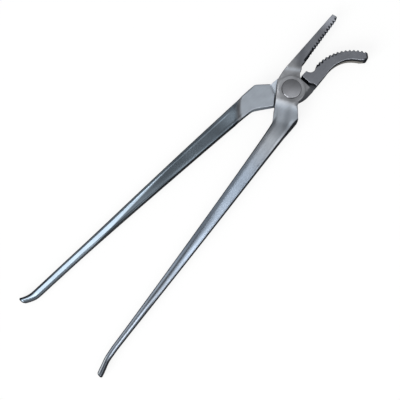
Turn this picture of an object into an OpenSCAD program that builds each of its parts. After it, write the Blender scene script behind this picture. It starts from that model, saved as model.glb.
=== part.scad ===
// Farrier's clinching tongs: one straight and one curved serrated jaw, two long
// tapered reins with flared ends, and a half-lap joint on a domed rivet.
// The tool lies flat. The rivet's axis is Z through the origin, the jaws point
// along +X, and z = 0 is the plane that the tool rests on.

/* [Joint] */
// Thickness over both half laps and their pads
joint_t = 14; // [12:0.5:17]
// Height of each round pad above the face of its arm
pad_h = 1.5; // [0.8:0.1:2]
// Radius of the round pads
pad_r = 11.2; // [10:0.1:12.2]
// Gap between the faces of the two half laps
lap_gap = 0.1; // [0.05:0.05:0.3]
// Distance from the pivot to the straight front edge of each lap
lap_front = 12; // [11.5:0.1:13]
// Gap between that edge and the shoulder of the other arm's jaw
shoulder_gap = 2.6; // [2.2:0.1:3.5]
// Distance from the pivot to the outer side of each lap
lap_side = 14.1; // [13:0.1:15]
// Distance from the pivot to the inner edge of each neck
neck_off = 12.3; // [11.8:0.05:13]
// Gap at the neck when the tool is at rest, which closes at the stop
stop_gap = 0.95; // [0.9:0.05:1.5]

/* [Rivet] */
// Diameter of the rivet's shank
rivet_d = 9; // [7:0.1:10]
// Radial clearance of the shank in the arm that turns on it
rivet_fit = 0.05; // [0.02:0.01:0.1]
// Diameter of the domed head
head_d = 16.6; // [14:0.1:19]
// Height of the domed head
head_h = 2.6; // [1.8:0.1:3.5]
// Height of the head's upright rim below the dome
head_rim = 0.5; // [0.3:0.1:0.8]
// Gap between the head and the pad below it
head_gap = 0.1; // [0.05:0.05:0.3]
// Diameter of the peened countersunk end
peen_d = 13; // [11.5:0.1:15]
// Depth of the peened countersunk end
peen_h = 2.2; // [1.5:0.1:3]

/* [Straight jaw] */
// Reach of the straight jaw from the pivot
straight_l = 72; // [60:1:85]
// Width of the straight jaw where its teeth begin
straight_root_w = 7.8; // [7:0.1:10]
// Width of the straight jaw at its tip
straight_tip_w = 4.9; // [4:0.1:7]
// Teeth along the straight jaw
straight_teeth = 13; // [9:1:15]
// Depth of all teeth
tooth_depth = 1.1; // [0.6:0.1:1.5]

/* [Curved jaw] */
// Radius of the toothed curve
curve_r = 40.4; // [35:0.2:46]
// Distance from the pivot to where the curve begins
curve_x = 29.8; // [29:0.2:34]
// Angle that the curved jaw turns through
curve_sweep = 66; // [55:1:75]
// Width of the curved jaw where the curve begins
curved_root_w = 11.2; // [10:0.1:12.5]
// Width of the curved jaw along its outer half
curved_tip_w = 8; // [6.5:0.1:9]
// Teeth along the curved jaw
curved_teeth = 13; // [9:1:15]

/* [Reins] */
// Reach of the reins from the pivot
rein_l = 278; // [220:1:320]
// Width of the reins at the shoulders
rein_root_w = 14.7; // [13:0.1:16]
// Width of the straight-jawed arm's rein near its end
straight_rein_end_w = 5.2; // [4.5:0.1:9]
// Width of the curved-jawed arm's rein near its end
curved_rein_end_w = 7.1; // [4.5:0.1:9]
// Thickness of the reins next to the shoulders
rein_root_t = 9.6; // [8:0.1:10.5]
// Thickness of the reins at their ends
rein_end_t = 7; // [5:0.1:9]
// Splay of the straight-jawed arm's rein
straight_rein_splay = 6.1; // [5:0.1:9]
// Splay of the curved-jawed arm's rein
curved_rein_splay = 4.4; // [4:0.1:7]
// How far each rein bows outward halfway along
rein_bow = 0.6; // [0:0.1:3]
// Length of the outward flare at the end of each rein
flare_l = 17; // [12:1:40]
// How far the flare turns the end outward
flare_out = 4.2; // [3:0.1:8]

/* [Hidden] */
round_fn = 96;

// Levels of the arms' faces and of the two laps
face_low = pad_h;
face_high = joint_t - pad_h;
arm_t = face_high - face_low;
lap_low = joint_t / 2 - lap_gap / 2;
lap_high = joint_t / 2 + lap_gap / 2;
over = 1;

// The joint's edges, as lines at an angle and a distance from the pivot
neck_angle = 127;
notch_angle = 156.4;
notch_off = neck_off + 1.27;
stop_off = neck_off + stop_gap;
curved_neck_off = neck_off - 1;
jaw_shoulder = lap_front + shoulder_gap;
throat_y = 0;
shoulder_lean = 2;
shoulder_top = 1.5;
far = 60;

// The laps' outer sides
wing_l = 8;
slope_w = 4.5;
slope_angle = 38;
lap_inset = 0.9;

// The jaws' fixed lines
tooth_x = 33.6;
groove_share = 0.72;
tip_round = 1.8;
straight_outer = 16.6;
straight_outer_rise = 2.4;
crest_y = -1.3;
bite_r = 4.6;
bite_x = 25;
bite_y = 1.35;

// The reins, all as a distance x behind the pivot
rein_start = 30;
straight_shoulder = 6.5;
curved_shoulder = 7.4;
swell_in = 0.7;
swell_l = 20;
straight_rein_off = 11.8;
curved_rein_off = 16.9;
straight_taper_l = 247;
curved_taper_l = 219;
straight_swell_out = 0.5;
curved_swell_out = -0.5;
rein_rise = 1.8;
straight_plunge = [19, 21];
curved_plunge = [36, 50];
straight_hollow = [3.6, 12];
curved_hollow = [5.5, 15.7];
rein_sides = 16;
rein_rings = 46;
section_power = 3.4;

// A larger or smaller of two values, rounded over about k
function smooth_max(a, b, k) = (a + b + sqrt((a - b) * (a - b) + k * k)) / 2;
function smooth_min(a, b, k) = (a + b - sqrt((a - b) * (a - b) + k * k)) / 2;

// The x of a point at height y on the line at an angle and distance from the pivot
function line_x(angle, off, y) = (off - sin(angle) * y) / cos(angle);
function line_y(angle, off, x) = (off - cos(angle) * x) / sin(angle);

// A shallow curve from a to b that bulges by sag to the right of its way
function bow(a, b, sag, n = 8) =
    let (d = b - a, len = norm(d), side = [d[1], -d[0]] / len)
    [for (i = [0:n]) let (t = i / n) a + d * t + side * 4 * sag * t * (1 - t)];

// A point at an angle on the circle of radius r
function polar(r, angle) = [r * cos(angle), r * sin(angle)];

// Width and middle of a rein at the distance x behind the pivot
function rein_w(x, end_w, taper_l) =
    smooth_max(end_w,
        rein_root_w - (rein_root_w - end_w) * (x - rein_start) / (taper_l - rein_start), 0.6);
function flare(x) =
    let (t = max(0, x - (rein_l - flare_l)) / flare_l) flare_out * t * t;
function rein_mid(x, off, splay) =
    off + x * tan(splay) + flare(x)
    + rein_bow * sin(180 * max(0, x - rein_start) / (rein_l - rein_start));

// Each rein's offset, splay, end width, taper length and outer swell, and the
// distances of its neck and its shoulder from the pivot
straight_rein = [straight_rein_off, straight_rein_splay, straight_rein_end_w,
    straight_taper_l, straight_swell_out, neck_off, straight_shoulder];
curved_rein = [curved_rein_off, curved_rein_splay, curved_rein_end_w,
    curved_taper_l, curved_swell_out, curved_neck_off, curved_shoulder];

// Outer and inner edge of a rein and of the shoulder before it
function swell(x) = exp((rein_start - x) / swell_l);
function rein_outer(x, a) =
    smooth_min(rein_mid(x, a[0], a[1]) + rein_w(x, a[2], a[3]) / 2 + a[4] * swell(x),
        a[6] + x, 1);
function rein_inner(x, a) =
    smooth_min(rein_mid(x, a[0], a[1]) - rein_w(x, a[2], a[3]) / 2 - swell_in * swell(x),
        -line_y(neck_angle, a[5], -x), 1);

// Underside and thickness of a rein at the distance x behind the pivot
function rein_low(x) = rein_rise * (1 - x / rein_l);
function rein_t(x) = rein_root_t + (rein_end_t - rein_root_t) * x / rein_l;
function signed_root(v) = sign(v) * pow(abs(v), 2 / section_power);

// One ring of the rein's rounded section, and the ring near its rounded end
function rein_ring(x, a, shrink = 1) =
    let (y0 = rein_inner(x, a), y1 = rein_outer(x, a), z0 = rein_low(x), t = rein_t(x))
    [for (i = [0:rein_sides - 1]) let (q = 360 * (i + 0.5) / rein_sides)
        [-x, (y0 + y1) / 2 + shrink * (y1 - y0) / 2 * signed_root(cos(q)),
            z0 + t / 2 + shrink * t / 2 * signed_root(sin(q))]];

// The rein as one closed skin from inside the shoulder to its end
module rein(a, start) {
    end_cap = 1.6;
    straight = [for (i = [0:rein_rings - 1])
        start + (rein_l - end_cap - start) * i / (rein_rings - 1)];
    rings = concat([for (x = straight) rein_ring(x, a)],
        [rein_ring(rein_l - end_cap * 0.4, a, 0.86), rein_ring(rein_l, a, 0.55)]);
    count = len(rings);
    points = [for (ring = rings) for (p = ring) p];
    sides = [for (k = [0:count - 2]) for (i = [0:rein_sides - 1])
        let (j = (i + 1) % rein_sides, b = k * rein_sides, c = b + rein_sides)
        [b + i, b + j, c + j, c + i]];
    first = [for (i = [0:rein_sides - 1]) rein_sides - 1 - i];
    last = [for (i = [0:rein_sides - 1]) (count - 1) * rein_sides + i];
    polyhedron(points = points, faces = concat(sides, [first, last]), convexity = 6);
}

// Outline of the lap and shoulder on the rein's side: from the lap's front corner
// along its outer side, round the shoulder to the plunge where the rein begins,
// and back along the neck's inner edge
function shoulder_outline(a, plunge, hollow) =
    let (wing = [lap_front - wing_l, lap_side],
        line_start = hollow[0] + 3,
        rein_edge = [-plunge[0], rein_outer(plunge[0], a)],
        tongue = [-plunge[1], rein_inner(plunge[1], a)])
    concat(
        [[lap_front, lap_side]],
        bow(wing, [-hollow[0], hollow[1]], 0.3, 4),
        [for (x = [line_start:2:plunge[0] - 1]) [-x, rein_outer(x, a)]],
        bow(rein_edge, tongue, 0.06 * norm(tongue - rein_edge), 6),
        [for (x = [plunge[1] - 2:-2:20]) [-x, rein_inner(x, a)]]);

// The same outline on the other side of the X axis
function flip(points) = [for (i = [len(points) - 1:-1:0]) [points[i][0], -points[i][1]]];

// Outer edge and toothed edge of the straight jaw at the distance x
function straight_outer_y(x) = straight_outer + (x - tooth_x) * tan(straight_outer_rise);
function straight_crest_y(x) =
    straight_outer_y(x) - straight_root_w
    + (straight_root_w - straight_tip_w) * (x - tooth_x) / (straight_l - tooth_x);

// Outline of the straight jaw from the throat to the neck corner
function straight_jaw_outline() =
    let (pitch = (straight_l - 0.5 - tooth_x) / straight_teeth,
        cusp = [lap_front + 6.8, throat_y + 5.3],
        heel = [tooth_x - 8.6, straight_crest_y(tooth_x - 8.6)],
        bend = [lap_front + 2, straight_outer_y(lap_front + 2) + 0.4],
        corner = [-1.9, line_y(90 + 15, neck_off + 1.4, -1.9)])
    concat(
        [[lap_front, throat_y]],
        bow([lap_front, throat_y], cusp, -1.2, 6),
        bow(cusp, heel, -0.8, 5),
        [for (i = [0:straight_teeth - 1], k = [-1:1])
            let (x = tooth_x + pitch * (i + 0.5) + k * pitch * groove_share / 2)
            [x, straight_crest_y(x) + (k == 0 ? tooth_depth : 0)]],
        [[straight_l, straight_crest_y(straight_l) + 0.5],
            [straight_l + 0.2, straight_crest_y(straight_l) + tip_round],
            [straight_l - 0.6, straight_outer_y(straight_l)]],
        bow(bend, corner, 0.5, 6),
        [[-4.6, line_y(neck_angle, neck_off, -4.6)]]);

// A point on the curved jaw: turn runs along the toothed edge from where the
// curve begins, and depth is measured inward from that edge
function curved_point(turn, depth) =
    [curve_x, crest_y - curve_r] + (curve_r - depth) * [sin(turn), cos(turn)];
function curved_w(turn) =
    smooth_max(curved_tip_w, curved_root_w - (curved_root_w - curved_tip_w) * turn / 37, 0.5);

// Outline of the curved jaw from the lap's inner side to the throat
function curved_jaw_outline() =
    let (root = [jaw_shoulder + 1.3, crest_y - curved_root_w - 0.9],
        lap_back = [-3.4, lap_inset - straight_hollow[1]],
        mm = 180 / PI / curve_r,
        pitch = (curve_sweep - 1.2 * mm) / curved_teeth)
    concat(
        bow(lap_back, root, 0.5, 5),
        [for (turn = [0:6:curve_sweep - 5]) curved_point(turn, curved_w(turn))],
        [curved_point(curve_sweep - 2.6 * mm, curved_w(curve_sweep) - 0.4),
            curved_point(curve_sweep + 0.9 * mm, curved_w(curve_sweep) - 1.6),
            curved_point(curve_sweep + 2 * mm, curved_w(curve_sweep) - 2.5),
            curved_point(curve_sweep + 2.1 * mm, curved_w(curve_sweep) - 3.8),
            curved_point(curve_sweep + 0.8 * mm, 1.8),
            curved_point(curve_sweep, 0.6)],
        [for (i = [curved_teeth - 1:-1:0], k = [1:-1:-1])
            curved_point(pitch * (i + 0.5 + k * groove_share / 2), k == 0 ? tooth_depth : 0)],
        [for (turn = [-60:-15:-180]) [bite_x, bite_y] + polar(bite_r, turn)],
        [[jaw_shoulder, shoulder_top], [lap_front, throat_y]]);

// The region where half of the joint's thickness is cut from the curved-jawed
// arm: its ends are the jaw's shoulder and the neck's two-sided notch
module lap_zone() {
    corner_x = (stop_off * sin(notch_angle) - notch_off * sin(neck_angle))
        / sin(notch_angle - neck_angle);
    corner_y = (notch_off * cos(neck_angle) - stop_off * cos(notch_angle))
        / sin(notch_angle - neck_angle);
    polygon([
        [line_x(notch_angle, notch_off, far), far],
        [corner_x, corner_y],
        [line_x(neck_angle, stop_off, -far), -far],
        [jaw_shoulder + shoulder_lean, -far],
        [jaw_shoulder + shoulder_lean, 3.4 - lap_side],
        [jaw_shoulder, 6.6 - lap_side],
        [jaw_shoulder, far]]);
}

// The sloped side of the lap beside its pad
module lap_slope() {
    translate([-straight_hollow[0], lap_side - slope_w, face_high])
        rotate([-slope_angle, 0, 0])
            cube([lap_front + straight_hollow[0] + over, 2 * slope_w, arm_t]);
}

// An arm's flat part with its outline, before the joint is cut
module plate(outline) {
    translate([0, 0, face_low])
        linear_extrude(arm_t)
            polygon(outline);
}

module straight_jaw_arm() {
    outline = concat(straight_jaw_outline(),
        flip(shoulder_outline(straight_rein, straight_plunge, straight_hollow)));
    color("#83888f")
        difference() {
            union() {
                difference() {
                    union() {
                        plate(outline);
                        mirror([0, 1, 0])
                            rein(straight_rein, straight_plunge[0] - 2);
                    }
                    mirror([0, 1, 0])
                        translate([0, 0, -over])
                            linear_extrude(lap_high + over)
                                lap_zone();
                    mirror([0, 1, 0])
                        lap_slope();
                }
                translate([0, 0, lap_high])
                    cylinder(r = pad_r, h = joint_t - lap_high, $fn = round_fn);
            }
            translate([0, 0, -over])
                cylinder(d = rivet_d + 2 * rivet_fit, h = joint_t + 2 * over, $fn = round_fn);
        }
}

module curved_jaw_arm() {
    outline = concat(curved_jaw_outline(),
        shoulder_outline(curved_rein, curved_plunge, curved_hollow));
    color("#7b8087")
        difference() {
            union() {
                difference() {
                    plate(outline);
                    translate([0, 0, lap_low])
                        linear_extrude(joint_t)
                            lap_zone();
                }
                cylinder(r = pad_r, h = lap_low, $fn = round_fn);
                rein(curved_rein, curved_plunge[0] - 2);
            }
            translate([0, 0, -over])
                cylinder(d = rivet_d, h = joint_t + 2 * over, $fn = round_fn);
            cylinder(d1 = peen_d, d2 = rivet_d, h = peen_h, $fn = round_fn);
        }
}

module pivot_rivet() {
    dome_h = head_h - head_rim;
    dome_r = (head_d * head_d / 4 + dome_h * dome_h) / (2 * dome_h);
    head_z = joint_t + head_gap;
    color("#8b8f95") {
        cylinder(d1 = peen_d, d2 = rivet_d, h = peen_h, $fn = round_fn);
        cylinder(d = rivet_d, h = head_z + head_rim, $fn = round_fn);
        translate([0, 0, head_z])
            cylinder(d = head_d, h = head_rim, $fn = round_fn);
        intersection() {
            translate([0, 0, head_z + head_h - dome_r])
                sphere(r = dome_r, $fn = round_fn);
            translate([0, 0, head_z + head_rim])
                cylinder(d = head_d, h = dome_h + over, $fn = round_fn);
        }
    }
}

straight_jaw_arm();
curved_jaw_arm();
pivot_rivet();
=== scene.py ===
"""Looks of the farrier's clinching tongs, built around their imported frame.

Lengths in this script are millimetres in the part's own frame until a mesh is
written: the rivet's axis is Z through the origin and the jaws point along +X.
A rein's place is its distance behind the pivot, called back.
"""

import math

import bpy
import numpy as np
from mathutils import Matrix, Vector
from mathutils.geometry import delaunay_2d_cdt
from mathutils.kdtree import KDTree


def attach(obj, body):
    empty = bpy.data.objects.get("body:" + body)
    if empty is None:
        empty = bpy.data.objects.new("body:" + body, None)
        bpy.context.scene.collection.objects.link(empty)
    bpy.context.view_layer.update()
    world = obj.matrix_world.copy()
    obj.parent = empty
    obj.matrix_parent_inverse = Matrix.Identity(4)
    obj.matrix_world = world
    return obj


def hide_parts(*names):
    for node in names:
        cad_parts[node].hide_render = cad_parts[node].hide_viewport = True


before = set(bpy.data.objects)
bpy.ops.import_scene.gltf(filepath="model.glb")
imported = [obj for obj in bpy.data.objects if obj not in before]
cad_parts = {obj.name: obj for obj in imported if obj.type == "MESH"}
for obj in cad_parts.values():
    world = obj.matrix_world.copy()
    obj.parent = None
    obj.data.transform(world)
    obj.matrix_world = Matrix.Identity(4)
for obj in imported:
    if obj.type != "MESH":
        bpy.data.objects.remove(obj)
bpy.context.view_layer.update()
scene = bpy.context.scene

# Levels and joint sizes, as in the part's source; marks above TOP_FROM belong to the top face
FACE_LOW, FACE_HIGH, JOINT_T = 1.5, 12.5, 14.0
LAP_LOW, LAP_HIGH = 6.95, 7.05
TOP_FROM = 8.0
PAD_R = 11.2
LAP_FRONT, LAP_SIDE = 12.0, 14.1
JAW_SHOULDER, SHOULDER_TOP = 14.6, 1.5
NECK_ANGLE, NECK_OFF, STOP_OFF = 127.0, 12.3, 13.25
NOTCH_ANGLE, NOTCH_OFF = 156.4, 13.57
SLOPE_W, SLOPE_ANGLE = 4.5, 38.0
RIVET_R, BORE_FIT = 4.5, 0.05
HEAD_Z, HEAD_H = 14.1, 2.6
PEEN_R, PEEN_H = 6.5, 2.2

# Jaws; the straight one narrows by so much in all, the curved one by so much to a degree
TOOTH_X, TOOTH_DEPTH, TEETH = 33.6, 1.1, 13
GROOVE_SHARE, GROOVE_POWER = 0.72, 0.7
STRAIGHT_L, STRAIGHT_OUT, STRAIGHT_ANGLE = 72.0, 16.6, 2.4
STRAIGHT_ROOT_W, STRAIGHT_NARROWS = 7.8, 2.9
CURVE_R, CURVE_X, CURVE_SWEEP, CREST_Y = 40.4, 29.8, 66.0, -1.3
CURVED_ROOT_W, CURVED_TIP_W, CURVED_NARROWS = 11.2, 8.0, 3.2 / 37
BITE_R, BITE_X, BITE_Y = 4.6, 25.0, 1.35
STRAIGHT_PITCH = (STRAIGHT_L - 0.5 - TOOTH_X) / TEETH
DEG_PER_MM = math.degrees(1 / CURVE_R)
CURVED_PITCH = (CURVE_SWEEP - 1.2 * DEG_PER_MM) / TEETH

# Reins: the formulas hold from REIN_FROM behind the pivot, and the underside starts REIN_LIFT up
REIN_L, REIN_START, REIN_ROOT_W = 278.0, 30.0, 14.7
REIN_FROM = 20.0
REIN_T, REIN_END_T, REIN_LIFT = 9.6, 7.0, 1.8
REIN_BOW, ROOT_FADE, END_CAP = 0.6, 20.0, 1.6
# Where the rows of points across each rein begin, and where each lap's wing ends
CURVED_ROWS, STRAIGHT_ROWS = 54.0, 32.0
CURVED_WING, STRAIGHT_WING = (5.5, 15.7), (3.6, 12.0)


class Rein:
    """One rein with the shoulder before it, on the positive side of the X axis.

    Off and splay set its middle line, end_w and taper its width, swell its bulge at
    the root, and neck and shoulder its edges near the joint. Flare is the bent end's
    length, reach and power. Nips dent the inner and the outer edge: place, half
    length, depth. Root and end are the section's powers inside and outside its crest.
    """

    def __init__(self, off, splay, end_w, taper, swell, neck, shoulder, flare, crest, root, end, nips):
        self.off = off
        self.slope = math.tan(math.radians(splay))
        self.end_w = end_w
        self.taper = taper
        self.swell = swell
        self.neck = neck
        self.shoulder = shoulder
        self.flare_l, self.flare_out, self.flare_power = flare
        self.crest = crest
        self.root = root
        self.end = end
        self.nips = nips

    def middle(self, back):
        t = np.maximum(0, back - (REIN_L - self.flare_l)) / self.flare_l
        lift = np.sin(np.pi * np.maximum(0, back - REIN_START) / (REIN_L - REIN_START))
        return self.off + back * self.slope + self.flare_out * t ** self.flare_power + REIN_BOW * lift

    def width(self, back):
        straight = REIN_ROOT_W - (REIN_ROOT_W - self.end_w) * (back - REIN_START) / (self.taper - REIN_START)
        return smooth_max(self.end_w, straight, 0.6)

    def outer(self, back):
        edge = self.middle(back) + self.width(back) / 2 + self.swell * np.exp((REIN_START - back) / ROOT_FADE)
        place, half, depth = self.nips[1]
        edge = edge - depth * np.exp(-((back - place) / half) ** 2)
        return smooth_min(edge, self.shoulder + back, 0.5)

    def inner(self, back):
        edge = self.middle(back) - self.width(back) / 2 - 0.7 * np.exp((REIN_START - back) / ROOT_FADE)
        place, half, depth = self.nips[0]
        edge = edge + depth * np.exp(-((back - place) / half) ** 2)
        return smooth_min(edge, -line_y(NECK_ANGLE, self.neck, -back), 1.0)

    def shrink(self, back):
        """Share of the full section that is left in the rounded end."""
        t = np.clip((back - (REIN_L - END_CAP)) / END_CAP, 0, 1)
        return 1 - 0.45 * t ** 2.2

    def section(self, back, y):
        """Underside and top of the rounded section at a point."""
        y0, y1 = self.inner(back), self.outer(back)
        low = REIN_LIFT * (1 - back / REIN_L)
        thick = REIN_T - (REIN_T - REIN_END_T) * back / REIN_L
        k = self.shrink(back)
        across = (y - (y0 + y1) / 2) / ((y1 - y0) / 2) / k
        t = ease(90, 190, back)
        limit = 0.7 + 0.2999 * ease(20, 34, back)
        levels = []
        for crest in (0.0, self.crest * ease(30, 120, back)):
            inner, outer = [r + (e - r) * t for r, e in zip(self.root, self.end)]
            power = np.where(across < crest, inner, outer)
            part = np.where(across < crest, (crest - across) / (1 + crest), (across - crest) / (1 - crest))
            part = np.minimum(part / (1 + (part / limit) ** 24) ** (1 / 24), 0.9999)
            levels.append((1 - part ** power) ** (1 / power) * k * thick / 2)
        return low + thick / 2 - levels[0], low + thick / 2 + levels[1]


def smooth_max(a, b, k):
    """The larger of two, rounded by k where they meet."""
    return (a + b + np.sqrt((a - b) ** 2 + k * k)) / 2


def smooth_min(a, b, k):
    return (a + b - np.sqrt((a - b) ** 2 + k * k)) / 2


def ease(a, b, v):
    """Nothing at a, one at b, and a soft rise between."""
    t = np.clip((v - a) / (b - a), 0, 1)
    return t * t * (3 - 2 * t)


def line_x(angle, off, y):
    """X where the line square to an angle, at a distance off from the pivot, passes y."""
    a = math.radians(angle)
    return (off - math.sin(a) * y) / math.cos(a)


def line_y(angle, off, x):
    """Y where that line passes x."""
    a = math.radians(angle)
    return (off - math.cos(a) * x) / math.sin(a)


def bow(a, b, sag, n=8):
    """A shallow curve from a to b that bulges by sag to the right of its way."""
    a, b = np.array(a, float), np.array(b, float)
    d = b - a
    side = np.array([d[1], -d[0]]) / np.linalg.norm(d)
    return [a + d * t + side * 4 * sag * t * (1 - t) for t in np.linspace(0, 1, n + 1)]


STRAIGHT = Rein(off=11.8, splay=6.1, end_w=5.2, taper=247, swell=0.5, neck=NECK_OFF, shoulder=6.5,
    flare=(25, 3.9, 1.5), crest=0.55, root=(2.8, 3.4), end=(2.2, 2.6),
    nips=((264, 5, -0.35), (264.5, 5.5, 0.6)))
CURVED = Rein(off=16.9, splay=4.4, end_w=7.1, taper=219, swell=-0.5, neck=NECK_OFF - 1, shoulder=7.4,
    flare=(12, 4.0, 2), crest=0.33, root=(6.0, 3.4), end=(2.6, 2.2),
    nips=((276, 7, 0.85), (230, 20, -0.15)))


# Outlines in plan

def straight_outer_y(x):
    return STRAIGHT_OUT + (x - TOOTH_X) * math.tan(math.radians(STRAIGHT_ANGLE))


def straight_crest_y(x):
    share = (x - TOOTH_X) / (STRAIGHT_L - TOOTH_X)
    return straight_outer_y(x) - STRAIGHT_ROOT_W + STRAIGHT_NARROWS * share


def curved_point(turn, depth):
    """The point at a turn along the curved jaw, in degrees, and at a depth below its crest."""
    a = math.radians(turn)
    r = CURVE_R - depth
    return [CURVE_X + r * math.sin(a), CREST_Y - CURVE_R + r * math.cos(a)]


def curved_width(turn):
    return float(smooth_max(CURVED_TIP_W, CURVED_ROOT_W - CURVED_NARROWS * turn, 0.5))


def groove(k):
    """Depth share of a tooth gap at k from -1 to 1 across it."""
    return math.cos(k * math.pi / 2) ** GROOVE_POWER if abs(k) < 1 else 0.0


def straight_jaw_outline():
    cusp = [LAP_FRONT + 6.8, 5.3]
    heel = [TOOTH_X - 8.6, straight_crest_y(TOOTH_X - 8.6)]
    bend = [LAP_FRONT + 2, straight_outer_y(LAP_FRONT + 2) + 0.4]
    corner = [-1.9, line_y(105, NECK_OFF + 1.4, -1.9)]
    points = [[LAP_FRONT, 0]] + bow([LAP_FRONT, 0], cusp, -1.2, 6)[1:] + bow(cusp, heel, -0.8, 5)[1:]
    for i in range(TEETH):
        for k in (-1, -0.6, 0, 0.6, 1):
            x = TOOTH_X + STRAIGHT_PITCH * (i + 0.5) + k * STRAIGHT_PITCH * GROOVE_SHARE / 2
            points.append([x, straight_crest_y(x) + TOOTH_DEPTH * groove(k)])
    points += [
        [STRAIGHT_L, straight_crest_y(STRAIGHT_L) + 0.5],
        [STRAIGHT_L + 0.2, straight_crest_y(STRAIGHT_L) + 1.8],
        [STRAIGHT_L - 0.6, straight_outer_y(STRAIGHT_L)],
    ]
    points += bow(bend, corner, 0.5, 6)
    points.append([-4.6, line_y(NECK_ANGLE, NECK_OFF, -4.6)])
    return points


def curved_jaw_outline():
    root = [JAW_SHOULDER + 1.3, CREST_Y - CURVED_ROOT_W - 0.9]
    points = bow([-3.4, 0.9 - 12.0], root, 0.5, 5)
    points += [curved_point(t, curved_width(t)) for t in np.arange(0, CURVE_SWEEP - 5, 3.0)]
    w = curved_width(CURVE_SWEEP)
    tip = ((-2.6, w - 0.4), (0.9, w - 1.6), (2, w - 2.5), (2.1, w - 3.8), (0.8, 1.8), (0, 0.6))
    for turn, depth in tip:
        points.append(curved_point(CURVE_SWEEP + turn * DEG_PER_MM, depth))
    for i in range(TEETH - 1, -1, -1):
        for k in (1, 0.6, 0, -0.6, -1):
            turn = CURVED_PITCH * (i + 0.5 + k * GROOVE_SHARE / 2)
            points.append(curved_point(turn, TOOTH_DEPTH * groove(k)))
    for turn in range(-60, -181, -10):
        a = math.radians(turn)
        points.append([BITE_X + BITE_R * math.cos(a), BITE_Y + BITE_R * math.sin(a)])
    points += [[JAW_SHOULDER, SHOULDER_TOP], [LAP_FRONT, 0]]
    return points


def rein_stations(start):
    """Places of the rows across a rein, closer together towards its end."""
    coarse = np.arange(start, REIN_L - 26, 0.8)
    fine = np.arange(REIN_L - 26, REIN_L - END_CAP, 0.65)
    tip = REIN_L - END_CAP * np.array([1, 0.7, 0.45, 0.25, 0.1, 0])
    return np.concatenate([coarse, fine, tip])


# Steps and gaps between the points of an arm's mesh, how far its grid reaches, and the places
# of a row's points as shares of half a rein's width
EDGE_STEP, LAP_STEP, BORE_STEP = 0.85, 0.9, 0.6
GRID, STAGGER, GRID_X, GRID_Y = 1.35, 0.67, 76, 34
EDGE_GAPS = (0.12, 0.3, 0.6, 1.1, 1.8, 2.7)
LAP_GAPS = (-0.9, -0.5, -0.2, 0.2, 0.5, 0.9)
ACROSS = np.array([0.988, 0.964, 0.919, 0.85, 0.76, 0.62, 0.45, 0.24, 0])


def rein_points(rein, start):
    """Rows of plan points across the rein, and its edge from the outer side round to the inner."""
    rows, outer, inner = [], [], []
    across = np.concatenate([-ACROSS, ACROSS[-2::-1]])
    for back in rein_stations(start):
        y0, y1 = float(rein.inner(back)), float(rein.outer(back))
        k = float(rein.shrink(back))
        row = [[-back, (y0 + y1) / 2 + k * s * (y1 - y0) / 2] for s in across]
        rows.append(row)
        outer.append(row[-1])
        inner.append(row[0])
    edge = outer + rows[-1][-2:0:-1] + inner[::-1]
    return rows, edge


def side_outline(rein, wing_end, start):
    """The lap's outer side, the shoulder, the rein round its end, and the neck's inner edge."""
    wing = [LAP_FRONT - 8, LAP_SIDE]
    points = [[LAP_FRONT, LAP_SIDE]] + bow(wing, [-wing_end[0], wing_end[1]], 0.3, 4)
    points += [[-x, float(rein.outer(x))] for x in np.arange(wing_end[0] + 2.5, start - 1, 1.5)]
    rows, edge = rein_points(rein, start)
    points += edge
    points += [[-x, float(rein.inner(x))] for x in np.arange(start - 1.5, REIN_FROM - 0.01, -1.5)]
    return rows, points


def flip(points):
    return [[p[0], -p[1]] for p in reversed(points)]


def resample(points, step):
    """A closed outline with every edge split to at most step, corners kept."""
    out = []
    for i, p in enumerate(points):
        q = points[(i + 1) % len(points)]
        p, q = np.array(p, float), np.array(q, float)
        length = np.linalg.norm(q - p)
        if length < 1e-6:
            continue
        n = max(1, int(math.ceil(length / step - 1e-6)))
        out += [p + (q - p) * i / n for i in range(n)]
    return np.array(out)


def edge_distance(points, outline):
    """Distance of each point to a closed outline."""
    a = outline
    b = np.roll(outline, -1, axis=0)
    d = b - a
    dd = (d ** 2).sum(1)
    best = np.full(len(points), 1e9)
    for k in range(0, len(points), 400):
        p = points[k:k + 400, None, :]
        t = np.clip(((p - a) * d).sum(2) / dd, 0, 1)
        best[k:k + 400] = np.sqrt(((p - a - t[..., None] * d) ** 2).sum(2)).min(1)
    return best


def within(points, outline):
    """Whether each point lies inside a closed outline."""
    x, y = points[:, 0], points[:, 1]
    inside = np.zeros(len(points), bool)
    a = outline
    b = np.roll(outline, -1, axis=0)
    for (x0, y0), (x1, y1) in zip(a, b):
        if y0 == y1:
            continue
        cross = ((y0 > y) != (y1 > y)) & (x < (x1 - x0) * (y - y0) / (y1 - y0) + x0)
        inside ^= cross
    return inside


def fillet(d, r):
    """How far a rounded edge of radius r lies below its face at distance d from the side."""
    r = np.maximum(r, 1e-6)
    u = np.clip(r - d, 0, r)
    return r - np.sqrt(np.maximum(r * r - u * u, 0))


# The lap's cut, shared by both arms
CUTS = [[math.cos(a), math.sin(a)] for a in (math.radians(NOTCH_ANGLE), math.radians(NECK_ANGLE))]
CORNER_X, CORNER_Y = np.linalg.solve(CUTS, [NOTCH_OFF, STOP_OFF])
LAP_ZONE = np.array([
    [line_x(NOTCH_ANGLE, NOTCH_OFF, 26), 26],
    [CORNER_X, CORNER_Y],
    [line_x(NECK_ANGLE, STOP_OFF, -26), -26],
    [JAW_SHOULDER + 2, -26],
    [JAW_SHOULDER + 2, 3.4 - LAP_SIDE],
    [JAW_SHOULDER, 6.6 - LAP_SIDE],
    [JAW_SHOULDER, 26],
])


def ring(r, step=0.8):
    n = int(2 * math.pi * r / step)
    return [[r * math.cos(2 * math.pi * i / n), r * math.sin(2 * math.pi * i / n)] for i in range(n)]


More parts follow.
